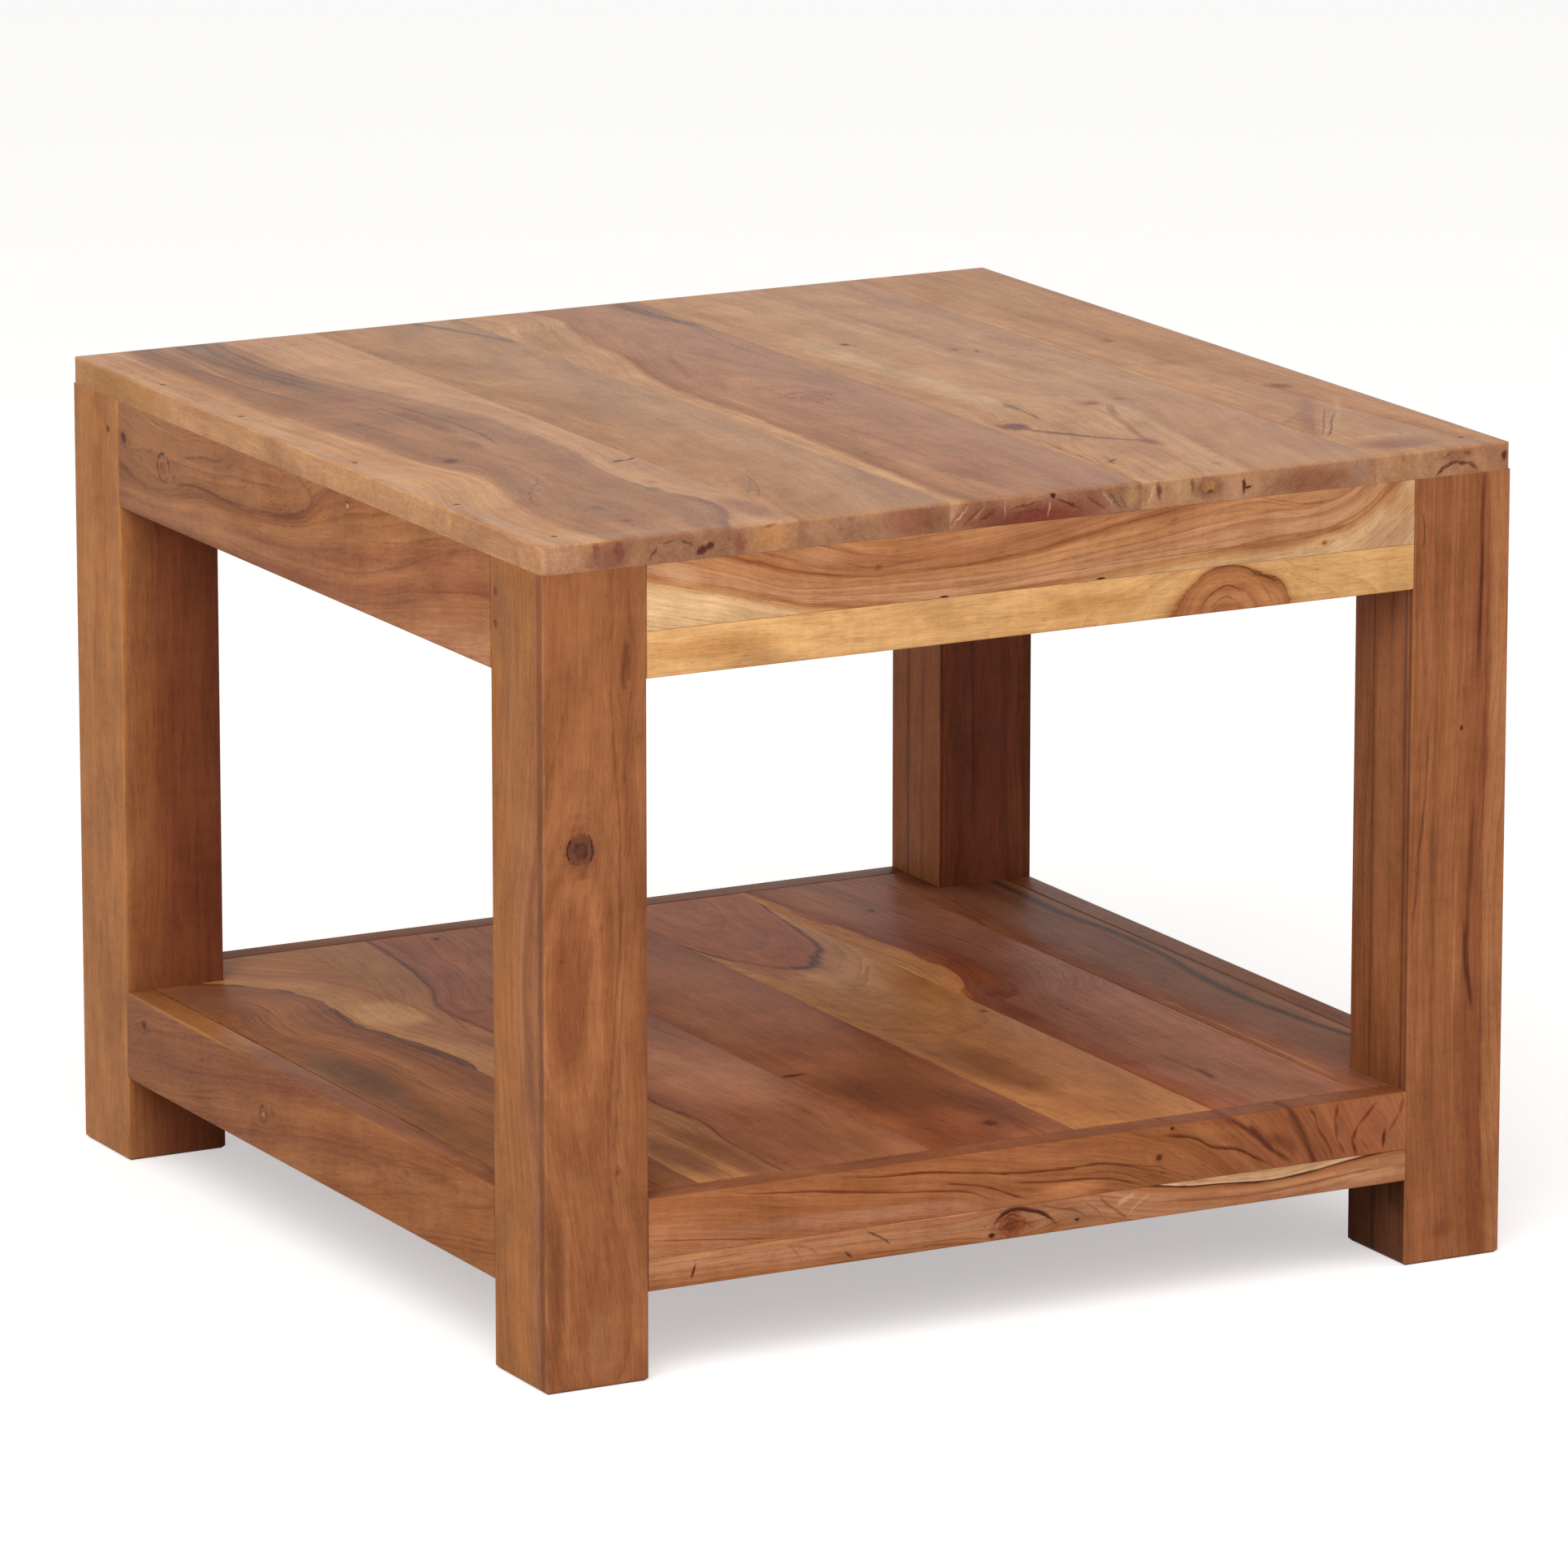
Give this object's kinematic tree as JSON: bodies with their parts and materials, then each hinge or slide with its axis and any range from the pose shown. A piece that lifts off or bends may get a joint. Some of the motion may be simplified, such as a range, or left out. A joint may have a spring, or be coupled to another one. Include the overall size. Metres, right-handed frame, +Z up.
{
  "type": "coffee table with shelf",
  "caption": "Square solid-wood coffee table: a board top on square legs, with aprons on tenons and an inset board shelf near the floor.",
  "frame": {"origin": "centre of the footprint, on the floor under the legs", "axes": "+Z up to the tabletop, -Y towards the front, +X to the right of someone who faces the front"},
  "size_m": [0.58, 0.58, 0.45],
  "materials": {
    "acacia_top": "satin lacquer over streaked acacia, sanded flat",
    "acacia_frame": "satin lacquer over acacia heartwood",
    "acacia_sapwood": "satin lacquer over pale acacia sapwood",
    "acacia_shelf": "satin lacquer over streaked acacia heartwood",
    "acacia_hidden": "planed acacia, thinly sealed",
    "pin_wood": "turned hardwood end grain, sanded flush",
    "wood_filler": "coloured wood filler, sanded flush",
    "nail_steel": "plain drawn steel wire",
    "screw_steel": "yellow zinc plated steel"
  },
  "bodies": {
    "root": {"top_board_1": "acacia_top", "top_board_2": "acacia_top", "top_board_3": "acacia_top", "top_board_4": "acacia_top", "top_board_5": "acacia_top", "leg_front_left": "acacia_frame", "leg_front_right": "acacia_frame", "leg_back_left": "acacia_frame", "leg_back_right": "acacia_frame", "apron_front_upper": "acacia_frame", "apron_front_lower": "acacia_sapwood", "apron_back": "acacia_frame", "apron_left": "acacia_frame", "apron_right": "acacia_frame", "rail_front_upper": "acacia_frame", "rail_front_lower": "acacia_frame", "rail_back": "acacia_frame", "rail_left": "acacia_frame", "rail_right": "acacia_frame", "shelf_board_1": "acacia_shelf", "shelf_board_2": "acacia_shelf", "shelf_board_3": "acacia_shelf", "shelf_board_4": "acacia_shelf", "shelf_board_5": "acacia_shelf", "shelf_board_6": "acacia_shelf", "cleat_front": "acacia_hidden", "cleat_back": "acacia_hidden", "cleat_left": "acacia_hidden", "cleat_right": "acacia_hidden", "shelf_bearer": "acacia_hidden", "top_batten": "acacia_hidden", "tenon_pins": "pin_wood", "top_nails": "nail_steel", "nail_fillers": "wood_filler", "cleat_screws": "screw_steel", "shelf_screws": "screw_steel", "batten_screws": "screw_steel"}
  },
  "joints": []
}
